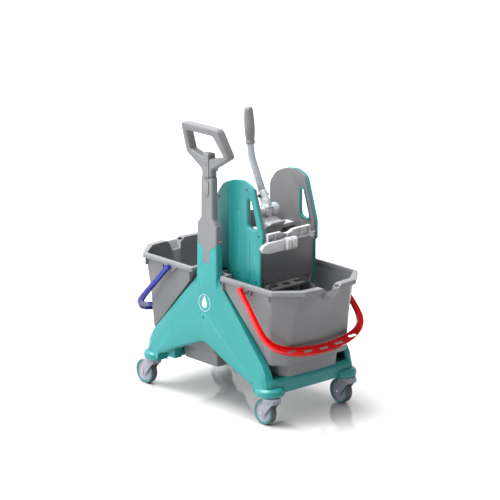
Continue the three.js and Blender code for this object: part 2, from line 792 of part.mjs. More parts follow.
// ---------------------------------------------------------------- carrying handles of the buckets
// drawn flat: u runs from the pivot to the grip, v across the bucket
const bailSpine = [
  [0, 193.5, 13], [60, 196, 12], [146, 202, 15], [186, 197, 18], [216, 175, 22], [240, 125, 26], [252, 60, 28],
];

// width is carried as the third coordinate, so one curve gives both
const bailCurve = new THREE.CatmullRomCurve3([
  ...bailSpine,
  [256, 0, 28],
  ...bailSpine.slice().reverse().map(([u, v, w]) => [u, -v, w]),
].map(point => new THREE.Vector3(...point)), false, 'centripetal');

function bailEdges(offset) {
  const full = bailCurve.getPoints(40);
  const outer = [];
  const innerSide = [];
  full.forEach((here, i) => {
    const a = full[Math.max(0, i - 1)];
    const b = full[Math.min(full.length - 1, i + 1)];
    const d = new THREE.Vector2(b.x - a.x, b.y - a.y).normalize();
    const reach = here.z / 2 - offset;
    outer.push([here.x - d.y * reach, here.y + d.x * reach]);
    innerSide.push([here.x + d.y * reach, here.y - d.x * reach]);
  });
  return { outer, innerSide };
}

function bailPlate(offset, low, high) {
  const { outer, innerSide } = bailEdges(offset);
  const tip = side => [-0.9, 0, 0.9].map((turn) => {
    const r = 6.5 - offset;
    return [-Math.cos(turn) * r, side * (193.5 - Math.sin(turn) * r)];
  });
  const outline = [...outer, ...tip(-1), ...innerSide.slice().reverse(), ...tip(1).reverse()];
  return plateZ(outline, low, high);
}

function bail() {
  const web = bailPlate(0, -2.5, 2.5);
  const lips = cut(bailPlate(0, -6.5, 6.5), bailPlate(3, -8, 8));
  const slots = [-130, -65, 0, 65, 130].map(v => {
    const u = 256 - 11 * (v / 110) ** 2;
    return plateZ(rounded([[u - 4, v - 20, 4], [u + 4, v - 20, 4], [u + 4, v + 20, 4], [u - 4, v + 20, 4]], 1), -8, 8);
  });
  const eyes = [-1, 1].map(side => {
    const y = [side * 187.4, side * 199].sort((a, b) => a - b);
    return rod(7.6, [0, y[0], 0], [0, y[1], 0], 14);
  });
  const pins = [-1, 1].map(side => rod(5, [0, side * 178.5, 0], [0, side * 190, 0], 12));
  return join(cut(join(web, lips), ...slots), ...eyes, ...pins);
}

const bailShape = shell(bail());
const hang = THREE.MathUtils.degToRad(BAIL_REST_DEG);
const bucketTurned = new THREE.Group();
bucketTurned.rotation.z = Math.PI;
trolley.add(bucketTurned);
add('bail_red', bailShape, RED, { position: [BAIL_X, 0, BAIL_Z], rotation: [0, hang, 0] });
add('bail_blue', bailShape, BLUE, { position: [BAIL_X, 0, BAIL_Z], rotation: [0, hang, 0], parent: bucketTurned });

// ---------------------------------------------------------------- wringer
const panelCorners = (grow, back = grow) => [
  [WRINGER_BACK_X - back, 441.5 - grow, 0],
  [34 - grow, 441.5 - grow, 0],
  [42 - grow, WRINGER_FOOT_Z - grow, 4],
  [WRINGER_FRONT_X + grow, WRINGER_FOOT_Z - grow, 4],
  [WRINGER_FRONT_X + grow, WRINGER_STEP_Z - 4, 0],
  [WRINGER_HEAD_X + grow, WRINGER_STEP_Z + 3, 0],
  [WRINGER_HEAD_X + grow, 590, 24],
  [148 + grow, 727 + grow * 0.7, 30],
  [106, 742 + (grow + back) / 2, 60],
  [58, 736 + back, 60],
  [6 - back * 0.5, 717 + back, 60],
  [WRINGER_BACK_X - back, 676 + back * 0.5, 36],
];
const panelOutline = rounded(panelCorners(0), 4);
const linerOutline = rounded(panelCorners(-4.5, -1), 4);

// teardrop hand hole
const handHole = grow => rounded([
  [121 - grow, 594 - grow, 20],
  [167 + grow * 1.5, 588 - grow, 12],
  [137 + grow, 680 + grow * 0.4, 10],
  [128, 687 + grow, 5],
  [120 - grow, 678 + grow, 8],
], 4);

function sidePanel() {
  const outer = -PANEL_Y;
  const place = (ring, y) => ring.map(([x, z]) => [x, y, z]);
  const plate = loft([
    place(inset(panelOutline, () => 3), outer),
    place(panelOutline, outer + 3),
    place(panelOutline, outer + PANEL_T),
  ], [0, 2]);
  const collar = plateY(handHole(2.6), outer + 1, outer + COLLAR_DEPTH);
  const hole = loft([
    place(handHole(4), outer - 1),
    place(handHole(0), outer + 4),
    place(handHole(0), outer + COLLAR_DEPTH + 1),
  ], [0, 2]);
  // plain stiffening ribs, round at both ends
  const ribs = [[122, 12, 424, 560], [78, 12, 440, 640], [34, 12, 456, 690]].map(([x, w, low, high]) => loft([
    place(rounded([[x - w + 3, low + 3, 8], [x + w - 3, low + 3, 8], [x + w - 3, high - 3, 8], [x - w + 3, high - 3, 8]], 2), outer - 1.6),
    place(rounded([[x - w, low, 10], [x + w, low, 10], [x + w, high, 10], [x - w, high, 10]], 2), outer + 0.5),
  ], [0, 2]));
  return cut(join(plate, collar, ...ribs), hole);
}

function liner() {
  const low = -PANEL_Y + PANEL_T + GAP;
  const plate = plateY(linerOutline, low, low + LINER_T, [handHole(2.6 + GAP)]);
  const bead = plateY([
    [WRINGER_HEAD_X - 8, 560], [WRINGER_HEAD_X - 4.5, 560], [WRINGER_HEAD_X - 4.5, 588], [144, 718], [139, 718],
  ], low, low + LINER_T + 5);
  return join(plate, cut(bead, plateY(handHole(6), low - 1, low + 20)));
}

const nearPanel = sidePanel();
const nearLiner = liner();
add('wringer_panel_near', nearPanel, TEAL);
add('wringer_panel_far', mirroredY(nearPanel), TEAL);
add('wringer_liner_near', nearLiner, LINER_GREY);
add('wringer_liner_far', mirroredY(nearLiner), LINER_GREY);

const INNER_Y = PANEL_Y - PANEL_T - LINER_T - 2 * GAP;

function frontPlate() {
  const y = INNER_Y;
  const outline = [
    [-y, 371 + 16], [-92, 371 + 16], [-40, 418], [40, 418], [92, 371 + 16], [y, 371 + 16],
    [y, 552], [-y, 552],
  ];
  const gussets = [-1, 1].map(side => plateX([[side * 94, 392], [side * 96, 423], [side * 66, 423]], 170, 182));
  const plate = cut(plateX(outline, 173, 179), ...gussets);
  const flange = box(160, 176, -y, y, 546, 552);
  const bar = box(178, 187, -y, y, 530, 546.4);
  return join(plate, flange, bar);
}
add('wringer_front_plate', frontPlate(), PLATE_GREY);

function backPlate() {
  const y = INNER_Y;
  const plate = plateX([[-y, 444], [y, 444], [y, 560], [60, 600], [-60, 600], [-y, 560]], -15, -10);
  const sill = box(-15, 34, -y, y, 442.5, 447);
  const drop = plateX([[-y, 400], [y, 400], [y, 446], [-y, 446]], 40, 45);
  const bridge = box(30, 45, -y, y, 442, 447);
  return join(plate, sill, drop, bridge);
}
add('wringer_back_plate', backPlate(), LINER_GREY);

function wringerFloor() {
  const y = INNER_Y;
  const holes = [];
  for (const x of [68, 106, 144]) {
    for (const v of [-75, -25, 25, 75]) {
      holes.push(box(x - 9, x + 9, v - 15, v + 15, 380, 400));
    }
  }
  return cut(box(40, 172, -y, y, 388, 393), ...holes);
}
add('wringer_floor', wringerFloor(), LINER_GREY);

// fixed yoke that carries the lever's hub, with a hood that flips up into a lip
function yoke() {
  const y = INNER_Y;
  const beam = box(58, 92, -y, y, 556, 568);
  const neck = plateX([[-9, 560], [9, 560], [9, 616], [-9, 616]], HUB_X - 8, HUB_X + 8);
  const barrel = rod(12.6, [HUB_X, -9, HUB_Z], [HUB_X, 9, HUB_Z], 24);
  const profile = rounded([
    [70, 566], [73, 590, 10], [80, 603, 5], [99, 603, 8], [107, 590, 16], [120, 588, 14], [132, 597, 3],
    [133, 590, 3], [122, 580, 14], [110, 573, 8], [112, 556], [70, 556],
  ], 3);
  const wide = plateY(profile, -36, 36);
  const flare = plateX(rounded([[-36, 550], [36, 550], [35, 586, 12], [22, 606, 10], [-20, 606, 10], [-33, 584, 12]], 3), 60, 140);
  return cut(join(beam, neck, barrel, wide.intersect(flare)), rod(6.4, [HUB_X, -30, HUB_Z], [HUB_X, 30, HUB_Z], 12));
}
add('wringer_yoke', yoke(), COLUMN_GREY);

// ---------------------------------------------------------------- press plate
function pressPlate() {
  const half = INNER_Y - 3;
  const plate = plateY([
    [PRESS_X + 2, 402], [PRESS_X + 8, 402], [PRESS_X + 8, 470], [PRESS_X + 5, 540], [PRESS_X - 1, 540], [PRESS_X + 2, 470],
  ], -half, half);
  const sleeve = rod(6, [PRESS_X, -half, PRESS_Z], [PRESS_X, half, PRESS_Z], 14);
  const ribs = [-75, -25, 25, 75].map(y => plateY([
    [PRESS_X + 1, 420], [PRESS_X + 3, 420], [PRESS_X + 3, 520], [PRESS_X - 3, 530], [PRESS_X - 5, 500], [PRESS_X - 4, 450],
  ], y - 2, y + 2));
  return join(plate, sleeve, ...ribs);
}
add('press_plate', pressPlate(), LINER_GREY);

// ---------------------------------------------------------------- lever
const TUBE_R = 11.5;

// tube and grip share one centre line: straight, one bend, then almost upright
const leverPath = new THREE.CatmullRomCurve3([
  [70.6, 656], [51.3, 696], [32, 736], [19.5, 762], [11.5, 779], [8, 795], [6.5, 810], [5, 826], [0.5, 880], [-4.9, 938],
].map(([x, z]) => new THREE.Vector3(x, 0, z)), false, 'centripetal');

// ring around the centre line where it reaches height z
function leverRing(z, radius, segments) {
  let low = 0;
  let high = 1;
  while (high - low > 1e-5) {
    const middle = (low + high) / 2;
    if (leverPath.getPointAt(middle).z < z) low = middle;
    else high = middle;
  }
  const centre = leverPath.getPointAt(low);
  const along = leverPath.getTangentAt(low);
  return Array.from({ length: segments }, (_, k) => {
    const turn = k / segments * Math.PI * 2;
    const side = radius * Math.cos(turn);
    return [centre.x + along.z * side, radius * Math.sin(turn), centre.z - along.x * side];
  });
}

const leverSkin = (profile, segments) => loft(profile.map(([z, radius]) => leverRing(z, radius, segments)));

function leverCasting() {
  const neckFoot = [80.3, 0, 636];
  const neckTop = [58.5, 0, 681];
  const near = rod(13.4, [HUB_X, -41, HUB_Z], [HUB_X, -8, HUB_Z], 24);
  const boss = rod(17.4, [HUB_X, -22, HUB_Z], [HUB_X, 22, HUB_Z], 28);
  const ball = solid(new THREE.SphereGeometry(19, 26, 14).translate(HUB_X, 25, HUB_Z));
  const neck = rod(14, neckFoot, neckTop, 24);
  const flare = loft([[632, 17], [645, 15.2], [657, 14]].map(([z, radius]) => {
    const x = 70.6 - 0.4825 * (z - 656);
    return circle(0, 0, radius, 24).map(([u, v]) => [x + u, v, z + u * 0.43]);
  }));
  const lugs = [-1, 1].map(side => {
    const y = [side * 10, side * 15.6].sort((a, b) => a - b);
    return rod(6.8, [65.3, y[0], 667], [65.3, y[1], 667], 14);
  });
  const room = [
    rod(13.2, [HUB_X, -9.4, HUB_Z], [HUB_X, 9.4, HUB_Z], 24),
    box(HUB_X - 10, HUB_X + 30, -9.4, 9.4, 590, HUB_Z + 10.5),
    rod(6.4, [HUB_X, -60, HUB_Z], [HUB_X, 38, HUB_Z], 12),
    rod(TUBE_R + GAP + 0.3, [74, 0, 649], [46, 0, 707], 24),
  ];
  return cut(join(near, boss, ball, neck, flare, ...lugs), ...room);
}
add('lever_casting', leverCasting(), CAST_ALUMINIUM);
add('lever_hub_pin', rod(6, [HUB_X, -40, HUB_Z], [HUB_X, 37.5, HUB_Z], 12), STEEL);

const tubeHeights = [656, 700, 740, 756, 764, 771, 777, 783, 789, 796, 806, 822, 860, 900];
add('lever_tube', leverSkin(tubeHeights.map(z => [z, TUBE_R]), 20), ALUMINIUM);

function leverGrip() {
  const skin = leverSkin([
    [821, 13.4], [822.5, 14.6], [829, 14.6], [830.5, 13.2], [836, 13.6], [852, 15.6],
    [872, 16.5], [895, 16.1], [918, 14.6], [930, 13.4], [935, 11], [937, 7],
  ], 22);
  const bore = leverSkin([[812, TUBE_R + 0.5], [822, TUBE_R + 0.5], [860, TUBE_R + 0.5], [902, TUBE_R + 0.5]], 20);
  return cut(skin, bore);
}
add('lever_grip', leverGrip(), GRIP_GREY);

// the head and the nut of the clamp bolt through the casting
[-1, 1].forEach((side, i) => {
  add(`lever_bolt_${i + 1}`, rod(5.2, [65.3, side * 15.95, 667], [65.3, side * 19.6, 667], 6), DARK_STEEL);
});

// ---------------------------------------------------------------- mop holder on the front
function holderRail() {
  const back = WRINGER_HEAD_X - 1;
  const web = plateX([
    [-104, 553], [78, 553], [86, 546], [98, 556], [104, 556], [104, 559], [74, 559],
    [74, 585], [3, 585], [-14, 577], [-32, 577], [-50, 585], [-104, 585],
  ], back, back + 2.4);
  const lower = box(back, back + 12, -104, 76, 553, 555.6);
  const upper = join(
    box(back, back + 12, -104, -50, 582.4, 585),
    box(back, back + 12, 3, 74, 582.4, 585),
    plateX([[-50.5, 582.4], [-32, 574.4], [-14, 574.4], [3.5, 582.4], [3.5, 585], [-14, 577], [-32, 577], [-50.5, 585]], back, back + 12),
  );
  const ribs = [-104, -74, 36, 71.6].map(y => box(back, back + 11, y, y + 2.4, 554, 584));
  const post = box(back, back + 14, -27, -22, 546, 576);
  const feet = [-60, 60].map(y => box(179.35, back + 1, y - 8, y + 8, 547, 551));
  const brackets = [-60, 60].map(y => box(back, back + 2.4, y - 8, y + 8, 547, 556));
  const lugOutline = rounded([
    [back + 11, 546], [back + 11, 564], [back + 30, 567, 5], [back + 36, 560, 5],
    [back + 36, 535, 5], [back + 29, 527, 4], [back + 22, 533, 4], [back + 20, 546],
  ], 2);
  const lugs = [[-44, -27], [-20, -3]].map(([a, b]) => plateY(lugOutline, a, b));
  const ring = plateX(circle(89, 551, 10, 16), back, back + 2.4, [circle(89, 551, 7.4, 16)]);
  const hook = cut(ring, box(back - 1, back + 4, 70, 110, 551, 570));
  const bar = box(back + 2, back + 16, -44, -3, 547, 562);
  return join(web, lower, upper, ...ribs, post, ...feet, ...brackets, ...lugs, bar, hook);
}
add('holder_rail', holderRail(), WHITE);

function holderJaw() {
  const outline = [[-142, 547], [-134, 534], [-110, 528], [-47, 528], [-47, 562], [-110, 562], [-132, 557]];
  const skin = plateX(outline, 203, 215);
  const pocket = plateX(inset(outline, () => 2.6), 200, 212.4);
  const arm = box(203, 206, -66, -49, 530, 560);
  return join(cut(skin, pocket), arm);
}
add('holder_jaw', holderJaw(), WHITE);

// ---------------------------------------------------------------- screws
function screw(x, y, z) {
  const out = Math.sign(y);
  const geometry = new THREE.CylinderGeometry(2.6, 3.4, 1.2, 12);
  geometry.rotateX(out > 0 ? 0 : Math.PI);
  return solid(geometry.translate(x, y + out * 0.6, z));
}
const panelScrews = [[-9, 670], [119, 714], [173, 577], [162, 428]];
for (const [end, side] of [['near', -1], ['far', 1]]) {
  panelScrews.forEach(([x, z], i) => {
    add(`panel_screw_${end}_${i + 1}`, screw(x, side * (PANEL_Y + GAP), z), DARK_STEEL);
  });
}

export default trolley;
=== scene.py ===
import json
import math

import bmesh
import bpy
from mathutils import Matrix, Vector


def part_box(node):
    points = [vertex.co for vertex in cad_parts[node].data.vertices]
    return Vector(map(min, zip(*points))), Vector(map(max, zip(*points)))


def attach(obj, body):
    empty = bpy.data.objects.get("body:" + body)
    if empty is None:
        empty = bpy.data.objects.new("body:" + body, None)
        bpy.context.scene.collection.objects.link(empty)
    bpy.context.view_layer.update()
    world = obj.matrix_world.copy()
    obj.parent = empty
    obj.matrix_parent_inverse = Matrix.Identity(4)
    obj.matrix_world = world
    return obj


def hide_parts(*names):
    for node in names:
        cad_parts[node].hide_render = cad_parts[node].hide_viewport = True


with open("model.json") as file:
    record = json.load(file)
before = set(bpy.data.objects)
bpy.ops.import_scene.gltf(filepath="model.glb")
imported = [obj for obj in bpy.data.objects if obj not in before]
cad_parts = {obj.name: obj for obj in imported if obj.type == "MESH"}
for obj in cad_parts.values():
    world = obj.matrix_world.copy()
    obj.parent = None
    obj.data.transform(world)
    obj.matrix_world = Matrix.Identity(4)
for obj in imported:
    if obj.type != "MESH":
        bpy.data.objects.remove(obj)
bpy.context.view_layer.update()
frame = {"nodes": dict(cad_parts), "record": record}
NODES = frame["nodes"]
BODY_OF = {
    node: body
    for body, members in frame["record"]["behaviour"]["bodies"].items()
    for node in members
}
SLOT_OF = {part["node"]: part["material_slot"] for part in frame["record"]["subparts"]}
MM = 0.001

# ------------------------------------------------------------------ camera

CAMERA_AZIMUTH = 47.96
CAMERA_ELEVATION = 15.65
CAMERA_LENS = 244.8
CAMERA_DISTANCE = 10.685


def place_camera():
    azimuth = math.radians(CAMERA_AZIMUTH)
    elevation = math.radians(CAMERA_ELEVATION)
    right = Vector((math.cos(azimuth), math.sin(azimuth), 0))
    back = Vector((
        math.sin(azimuth) * math.cos(elevation),
        -math.cos(azimuth) * math.cos(elevation),
        math.sin(elevation),
    ))
    up = back.cross(right)
    target = Vector((0, 0, 0.45)) + right * 0.002 + up * 0.0246
    data = bpy.data.cameras.new("camera")
    data.sensor_width = 36
    data.lens = CAMERA_LENS
    data.clip_end = 100
    camera = bpy.data.objects.new("camera", data)
    bpy.context.scene.collection.objects.link(camera)
    camera.location = target + back * CAMERA_DISTANCE
    camera.rotation_euler = Matrix((right, up, back)).transposed().to_euler()
    bpy.context.scene.camera = camera


place_camera()

# ------------------------------------------------------------------ materials


PAINT_GAIN = 0.56    # the studio is bright, so every surface is painted darker by this factor


def srgb(red, green, blue):
    def linear(value):
        value /= 255
        if value <= 0.04045:
            return PAINT_GAIN * value / 12.92
        return PAINT_GAIN * ((value + 0.055) / 1.055) ** 2.4
    return (linear(red), linear(green), linear(blue), 1)


class Nodes:
    """A small builder for one material's nodes."""

    def __init__(self, name):
        self.material = bpy.data.materials.new(name)
        self.material.use_nodes = True
        self.tree = self.material.node_tree
        self.shader = self.tree.nodes["Principled BSDF"]
        self.where = self.tree.nodes.new("ShaderNodeTexCoord").outputs["Object"]

    def new(self, kind, **values):
        node = self.tree.nodes.new(kind)
        for key, value in values.items():
            setattr(node, key, value)
        return node

    def link(self, output, target):
        self.tree.links.new(output, target)

    def stretched(self, scale):
        node = self.new("ShaderNodeMapping")
        node.inputs["Scale"].default_value = scale
        self.link(self.where, node.inputs["Vector"])
        return node.outputs["Vector"]

    def noise(self, scale, detail=3, vector=None, roughness=0.5):
        node = self.new("ShaderNodeTexNoise")
        node.inputs["Scale"].default_value = scale
        node.inputs["Detail"].default_value = detail
        node.inputs["Roughness"].default_value = roughness
        self.link(vector or self.where, node.inputs["Vector"])
        return node.outputs["Fac"]

    def remap(self, value, low, high, start=0.3, end=0.7):
        node = self.new("ShaderNodeMapRange")
        node.inputs["From Min"].default_value = start
        node.inputs["From Max"].default_value = end
        node.inputs["To Min"].default_value = low
        node.inputs["To Max"].default_value = high
        self.link(value, node.inputs["Value"])
        return node.outputs["Result"]

    def blend(self, factor, first, second):
        node = self.new("ShaderNodeMix", data_type="RGBA")
        self.link(factor, node.inputs["Factor"])
        for value, socket in ((first, node.inputs["A"]), (second, node.inputs["B"])):
            if isinstance(value, tuple):
                socket.default_value = value
            else:
                self.link(value, socket)
        return node.outputs["Result"]

    def bump(self, height, strength, distance, under=None):
        node = self.new("ShaderNodeBump")
        node.inputs["Strength"].default_value = strength
        node.inputs["Distance"].default_value = distance
        self.link(height, node.inputs["Height"])
        if under:
            self.link(under, node.inputs["Normal"])
        return node.outputs["Normal"]

    def edges(self, low=0.52, high=0.62):
        """0 on flat faces and 1 on sharp convex edges."""
        pointy = self.new("ShaderNodeNewGeometry").outputs["Pointiness"]
        return self.remap(pointy, 0, 1, low, high)


def shade(color, factor):
    return tuple(min(1, channel * factor) for channel in color[:3]) + (1,)


def moulded(name, color, roughness=0.42, grain=0.10, sheen_edge=1.25, specular=0.32, coat=0.0):
    """Injection-moulded plastic: flow marks, fine spark-eroded grain, and a painted highlight that
    makes edges a little paler.
    """
    n = Nodes(name)
    clouds = n.noise(7, 4)
    tone = n.blend(n.remap(clouds, 0, 1), shade(color, 0.955), shade(color, 1.035))
    fleck = n.remap(n.noise(420, 2), 0, 0.12, 0.55, 0.75)
    tone = n.blend(fleck, tone, shade(color, 1.25))
    # painted highlight: convex edges, in noisy patches, are painted paler by sheen_edge
    painted_edge_highlight = n.new("ShaderNodeMath", operation="MULTIPLY")
    n.link(n.edges(), painted_edge_highlight.inputs[0])
    n.link(n.remap(n.noise(36, 4), 0.25, 0.8), painted_edge_highlight.inputs[1])
    tone = n.blend(painted_edge_highlight.outputs[0], tone, shade(color, sheen_edge))
    n.link(tone, n.shader.inputs["Base Color"])
    smears = n.noise(16, 5, n.stretched((1, 1, 0.35)))
    n.link(n.remap(smears, roughness - 0.05, roughness + 0.06), n.shader.inputs["Roughness"])
    soft = n.bump(n.noise(24, 2), 0.06, 0.0006)
    n.link(n.bump(n.noise(1500, 2), grain, 0.00012, soft), n.shader.inputs["Normal"])
    n.shader.inputs["Specular IOR Level"].default_value = specular
    n.shader.inputs["Coat Weight"].default_value = coat
    n.shader.inputs["Coat Roughness"].default_value = 0.2
    return n.material


def drawn_metal(name, color, roughness=0.28, metallic=1.0):
    """Drawn aluminium tube or plated steel with fine marks along its length."""
    n = Nodes(name)
    lines = n.noise(260, 3, n.stretched((1, 1, 0.04)))
    tone = n.blend(n.remap(lines, 0, 1), shade(color, 0.88), shade(color, 1.08))
    n.link(tone, n.shader.inputs["Base Color"])
    n.link(n.remap(lines, roughness - 0.06, roughness + 0.1), n.shader.inputs["Roughness"])
    n.link(n.bump(lines, 0.12, 0.0002), n.shader.inputs["Normal"])
    n.shader.inputs["Metallic"].default_value = metallic
    return n.material


def cast_metal(name, color):
    """Tumbled die-cast aluminium: mottled, slightly pitted."""
    n = Nodes(name)
    mottle = n.noise(60, 6)
    tone = n.blend(n.remap(mottle, 0, 1), shade(color, 0.82), shade(color, 1.1))
    n.link(tone, n.shader.inputs["Base Color"])
    n.link(n.remap(mottle, 0.3, 0.5), n.shader.inputs["Roughness"])
    coarse = n.bump(mottle, 0.15, 0.0006)
    n.link(n.bump(n.noise(900, 3), 0.25, 0.0002, coarse), n.shader.inputs["Normal"])
    n.shader.inputs["Metallic"].default_value = 0.25
    return n.material


def rubber(name, color, roughness=0.62):
    """Soft rubber with a dusty bloom and a fine grain."""
    n = Nodes(name)
    dust = n.noise(45, 5)
    tone = n.blend(n.remap(dust, 0, 1), shade(color, 0.86), shade(color, 1.16))
    n.link(tone, n.shader.inputs["Base Color"])
    n.link(n.remap(dust, roughness - 0.08, roughness + 0.1), n.shader.inputs["Roughness"])
    fine = n.noise(800, 3)
    n.link(n.bump(fine, 0.3, 0.0002), n.shader.inputs["Normal"])
    return n.material


MATERIALS = {
    "teal_plastic": moulded("teal_plastic", srgb(47, 161, 160), 0.32, specular=0.36, sheen_edge=1.35),
    "light_grey_plastic": moulded("light_grey_plastic", srgb(147, 148, 151), 0.42),
    "bucket_plastic": moulded("bucket_plastic", srgb(140, 141, 144), 0.36),
    "liner_plastic": moulded("liner_plastic", srgb(142, 142, 144), 0.46),
    "dark_plastic": moulded("dark_plastic", srgb(140, 141, 143), 0.42),
    "fork_plastic": moulded("fork_plastic", srgb(172, 176, 190), 0.42),
    "white_plastic": moulded("white_plastic", srgb(228, 229, 231), 0.36),
    "red_plastic": moulded("red_plastic", srgb(240, 4, 6), 0.26, coat=0.2),
    "blue_plastic": moulded("blue_plastic", srgb(22, 38, 156), 0.26, coat=0.15),
    "tyre_rubber": rubber("tyre_rubber", srgb(106, 109, 110), 0.62),
    "grip_rubber": rubber("grip_rubber", srgb(138, 140, 142), 0.50),
    "aluminium": drawn_metal("aluminium", srgb(206, 212, 219), 0.30, metallic=0.25),
    "cast_aluminium": cast_metal("cast_aluminium", srgb(226, 231, 238)),
    "steel": drawn_metal("steel", srgb(214, 214, 216), 0.26),
    "dark_steel": drawn_metal("dark_steel", srgb(70, 71, 74), 0.35),
}
TEAL = MATERIALS["teal_plastic"]
# painted light: the hood lies in shade between the panels, so it gets a much lighter copy of the grey
# plastic
YOKE_GREY_PAINTED_LIT = moulded("yoke_grey_painted_lit", srgb(232, 232, 234), 0.40)

# ------------------------------------------------------------------ mesh helpers

WELD = 0.02 * MM
FLAT_ANGLE = 2.0     # faces that meet at less are merged
SHARP_ANGLE = 28     # edges that meet at more are rounded over


def finish_piece(name, mesh, node, material=None, body=None, smooth=35):
    """Makes the object, parents it to the body it rides on, and hides the CAD part it stands for."""
    mesh.materials.clear()
    mesh.materials.append(material or MATERIALS[SLOT_OF[node]])
    for polygon in mesh.polygons:
        polygon.use_smooth = True
    if smooth:
        mesh.set_sharp_from_angle(angle=math.radians(smooth))
    piece = bpy.data.objects.new(name, mesh)
    bpy.context.scene.collection.objects.link(piece)
    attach(piece, body or BODY_OF[node])
    if node:
        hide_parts(node)
    return piece


def soften(node, width, segments=2, material=None):
    """The CAD part's own form with its moulded edges rounded over."""
    mesh = NODES[node].data.copy()
    form = bmesh.new()
    form.from_mesh(mesh)
    bmesh.ops.remove_doubles(form, verts=form.verts, dist=WELD)
    bmesh.ops.dissolve_limit(
        form, angle_limit=math.radians(FLAT_ANGLE), verts=form.verts, edges=form.edges,
    )
    form.to_mesh(mesh)
    form.free()
    piece = finish_piece(f"{node}_body", mesh, node, material, smooth=0)
    bevel = piece.modifiers.new("edges", "BEVEL")
    bevel.width = width * MM
    bevel.segments = segments
    bevel.limit_method = "ANGLE"
    bevel.angle_limit = math.radians(SHARP_ANGLE)
    bevel.use_clamp_overlap = True
    bevel.harden_normals = True
    bake(piece)
    piece.data.set_sharp_from_angle(angle=math.radians(SHARP_ANGLE + 4))
    return piece


def bake(piece):
    """Applies the piece's modifiers to its mesh."""
    bpy.context.view_layer.update()
    graph = bpy.context.evaluated_depsgraph_get()
    mesh = bpy.data.meshes.new_from_object(piece.evaluated_get(graph))
    old = piece.data
    piece.modifiers.clear()
    piece.data = mesh
    bpy.data.meshes.remove(old)


def revolve(profile, centre, segments=96):
    """Closed profile of (radius, height) points in mm turned about the Y axis through the centre."""
    form = bmesh.new()
    rings = []
    for radius, height in profile:
        ring = []
        for k in range(segments):
            angle = 2 * math.pi * k / segments
            u = radius * math.cos(angle)
            v = radius * math.sin(angle)
            ring.append(form.verts.new(Vector((u, height, v)) * MM + Vector(centre)))
        rings.append(ring)
    for first, second in zip(rings, rings[1:] + rings[:1]):
        for k in range(segments):
            after = (k + 1) % segments
            form.faces.new((first[k], first[after], second[after], second[k]))
    bmesh.ops.recalc_face_normals(form, faces=form.faces)
    mesh = bpy.data.meshes.new("revolved")
    form.to_mesh(mesh)
    form.free()
    return mesh


def middle(node):
    low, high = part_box(node)
    return (low + high) / 2


def smooth_copy(node):
    """The CAD part's own form, shaded smooth."""
    mesh = NODES[node].data.copy()
    form = bmesh.new()
    form.from_mesh(mesh)
    bmesh.ops.remove_doubles(form, verts=form.verts, dist=WELD)
    form.to_mesh(mesh)
    form.free()
    return finish_piece(f"{node}_body", mesh, node, smooth=50)


# ------------------------------------------------------------------ pieces

for side in ("near", "far"):
    soften(f"side_frame_{side}", 1.6, 3)
    soften(f"wringer_panel_{side}", 1.0, 2)
    soften(f"wringer_liner_{side}", 1.6, 3)
for colour in ("red", "blue"):
    soften(f"end_beam_{colour}", 1.5, 3)
    soften(f"bucket_{colour}", 0.9, 2)
    soften(f"bail_{colour}", 0.9, 2)
for node, width in (
    ("push_handle_column", 1.2), ("push_handle_grip", 2.2), ("push_handle_button", 1.2),
    ("handle_latch", 0.7), ("far_socket_cap", 1.2), ("wringer_front_plate", 1.0),
    ("wringer_back_plate", 1.0), ("wringer_floor", 0.6), ("press_plate", 0.8),
    ("lever_casting", 0.7), ("lever_hub_pin", 0.8), ("lever_bolt_1", 0.5), ("lever_bolt_2", 0.5),
    ("holder_rail", 0.5), ("holder_jaw", 0.9),
):
    soften(node, width, 2)
# the hood takes the lighter copy of the grey, which stands in for light it does not get
soften("wringer_yoke", 1.0, 2, material=YOKE_GREY_PAINTED_LIT)
smooth_copy("lever_tube")
smooth_copy("lever_grip")
for side in ("near", "far"):
    for index in range(1, 5):
        soften(f"panel_screw_{side}_{index}", 0.3, 2)

# ------------------------------------------------------------------ wheels

TYRE = (
    (37.2, -10.6), (38, -11.5), (39, -11.3), (39.8, -10.2), (40, -8.5), (40, -5.2), (39.8, -4.9),
    (39.8, -4.3), (40, -4), (40, 4), (39.8, 4.3), (39.8, 4.9), (40, 5.2), (40, 8.5), (39.8, 10.2),
    (39, 11.3), (38, 11.5), (37.2, 10.6),
)
WHEEL_RING = (
    (32.6, -9.6), (33.1, -11.2), (34, -11.8), (36.2, -11.8), (36.9, -11.2), (37.1, -10),
    (37.1, 10), (36.9, 11.2), (36.2, 11.8), (34, 11.8), (33.1, 11.2), (32.6, 9.6),
)
WHEEL_DISC = (
    (5.4, -12.4), (8.8, -12.4), (9.8, -11.8), (10.6, -9.8), (12, -9.1), (27.6, -8.6), (28.6, -9.2),
    (29.4, -10.6), (30.2, -11), (31, -10.6), (31.4, -8), (32.5, -8),
    (32.5, 8), (31.4, 8), (31, 10.6), (30.2, 11), (29.4, 10.6), (28.6, 9.2), (27.6, 8.6), (12, 9.1),
    (10.6, 9.8), (9.8, 11.8), (8.8, 12.4), (5.4, 12.4),
)

for end in ("blue", "red"):
    for side in ("near", "far"):
        label = f"{end}_{side}"
        soften(f"castor_stem_{label}", 0.5, 2)
        soften(f"castor_fork_{label}", 0.9, 2)
        soften(f"castor_axle_{label}", 0.6, 2)
        centre = middle(f"wheel_tyre_{label}")
        finish_piece(f"tyre_{label}", revolve(TYRE, centre), f"wheel_tyre_{label}")
        finish_piece(f"wheel_disc_{label}", revolve(WHEEL_DISC, centre), f"wheel_core_{label}")
        finish_piece(
            f"wheel_ring_{label}", revolve(WHEEL_RING, centre), f"wheel_core_{label}",
            material=TEAL,
        )

# ------------------------------------------------------------------ water-drop mark on the side frame

PANEL_LEAN = 0.034      # how far the side frame slopes outward per mm below its shoulder
PANEL_FACE_Y = -179     # outer face of the side frame at the shoulder, mm
PANEL_SHOULDER_Z = 439
PRINT_PROUD = 0.3       # thickness of the print in front of the face, mm


